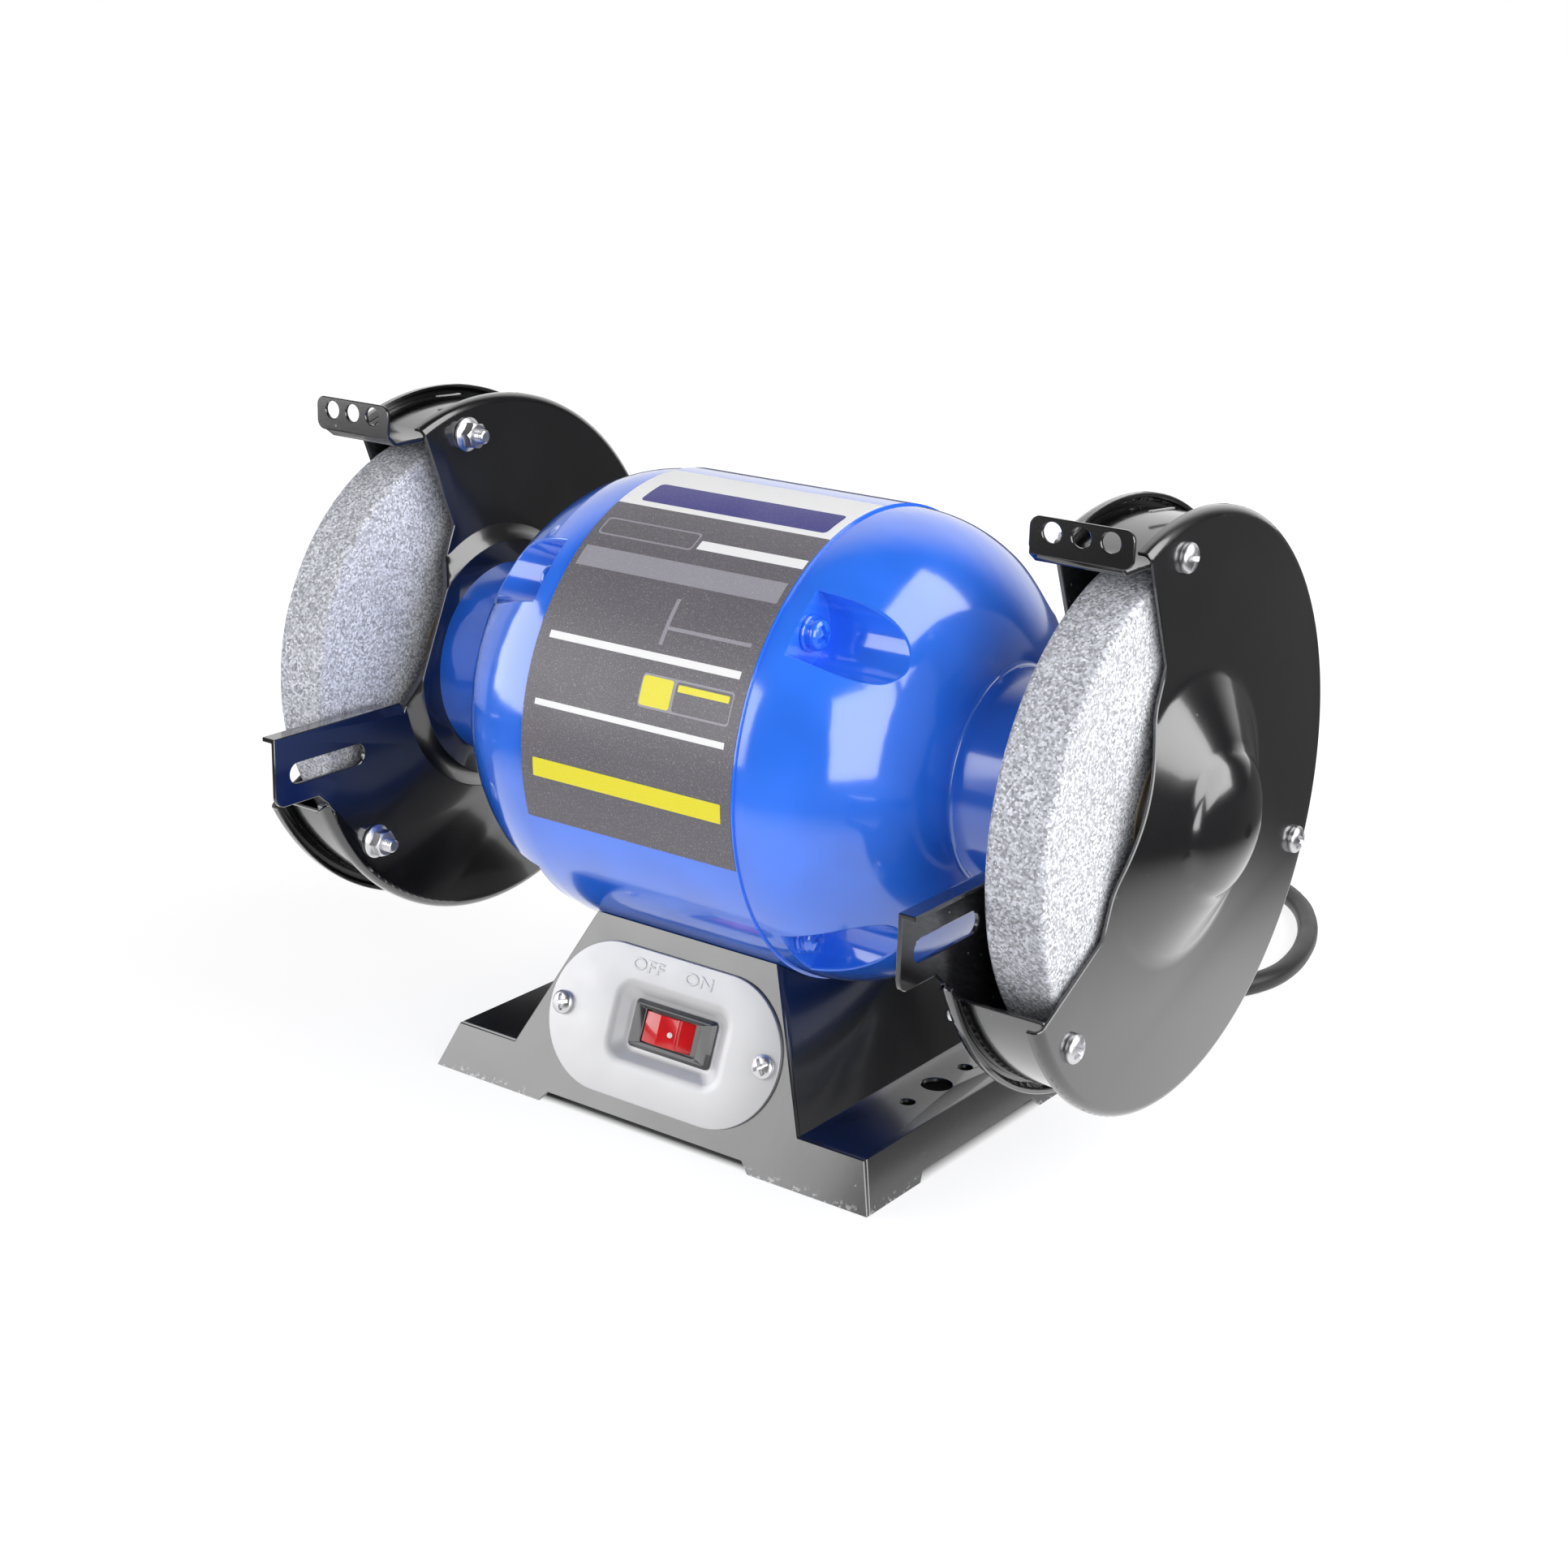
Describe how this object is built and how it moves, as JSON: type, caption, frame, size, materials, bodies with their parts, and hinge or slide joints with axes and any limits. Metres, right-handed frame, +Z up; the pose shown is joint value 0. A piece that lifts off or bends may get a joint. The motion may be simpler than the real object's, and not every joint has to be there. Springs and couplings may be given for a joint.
{
  "type": "bench grinder",
  "caption": "Bench grinder with a domed motor on a sheet-metal pedestal, a guarded abrasive wheel at each end, rocker switch and mains cord",
  "frame": {"origin": "centre of the object on the bench top, the cord left out", "axes": "+X along the shaft to the right of someone facing the switch, +Y to the rear, +Z up"},
  "size_m": [0.3354, 0.3904, 0.2146],
  "materials": {
    "base_paint": "semi-gloss black paint",
    "bearing_steel": "ground steel",
    "black_rubber": "smooth dark rubber",
    "blotter_paper": "plain paper disc",
    "blue_paint": "gloss royal blue paint",
    "bright_plate": "satin bright metal",
    "can_plastic": "moulded black can",
    "core_steel": "stacked laminations",
    "dark_plastic": "moulded dark grey",
    "grit": "speckled grey abrasive grit",
    "guard_paint": "satin black paint",
    "red_plastic": "translucent red",
    "tie_plastic": "soft tie",
    "turned_steel": "turned steel",
    "winding_wire": "varnished wire",
    "zinc": "bright zinc plating"
  },
  "bodies": {
    "frame": {"base_front_plate": "base_paint", "base_rear_plate": "base_paint", "base_saddle": "base_paint", "bearing_balls_left": "bearing_steel", "bearing_balls_right": "bearing_steel", "bearing_outer_left": "bearing_steel", "bearing_outer_right": "bearing_steel", "bell_screws_left": "zinc", "bell_screws_right": "zinc", "bottom_cover": "base_paint", "bottom_cover_screws": "zinc", "capacitor_clip": "zinc", "cord_coil": "black_rubber", "cord_tie": "tie_plastic", "end_bell_left": "blue_paint", "end_bell_right": "blue_paint", "guard_band_left": "guard_paint", "guard_band_right": "guard_paint", "guard_mount_screws_left": "zinc", "guard_mount_screws_right": "zinc", "guard_nuts_left": "zinc", "guard_nuts_right": "zinc", "guard_screws_left": "zinc", "guard_screws_right": "zinc", "inner_guard_left": "guard_paint", "inner_guard_right": "guard_paint", "motor_band": "blue_paint", "motor_bolts": "zinc", "outer_cover_left": "guard_paint", "outer_cover_right": "guard_paint", "power_cord": "black_rubber", "power_plug": "black_rubber", "run_capacitor": "can_plastic", "stator_core": "core_steel", "stator_windings": "winding_wire", "strain_relief": "black_rubber", "switch_housing": "dark_plastic", "switch_plate": "bright_plate", "switch_plate_screws": "zinc"},
    "spindle": {"bearing_inner_left": "bearing_steel", "bearing_inner_right": "bearing_steel", "inner_flange_left": "turned_steel", "inner_flange_right": "turned_steel", "outer_flange_left": "turned_steel", "outer_flange_right": "turned_steel", "rotor_core": "core_steel", "spindle_nut_left": "turned_steel", "spindle_nut_right": "turned_steel", "spindle_shaft": "turned_steel", "wheel_blotters_left": "blotter_paper", "wheel_blotters_right": "blotter_paper", "wheel_left": "grit", "wheel_right": "grit"},
    "rocker": {"switch_rocker": "red_plastic"}
  },
  "joints": [
    {"name": "spindle_spin", "type": "hinge", "parent": "frame", "child": "spindle", "pos_m": [0, 0.00725, 0.1228], "axis": [1, 0, 0], "continuous": true},
    {"name": "switch_rock", "type": "hinge", "parent": "frame", "child": "rocker", "pos_m": [0.0025, -0.04309, 0.03084], "axis": [0, 0.3387, 0.9409], "range_deg": [-18, 0]}
  ]
}
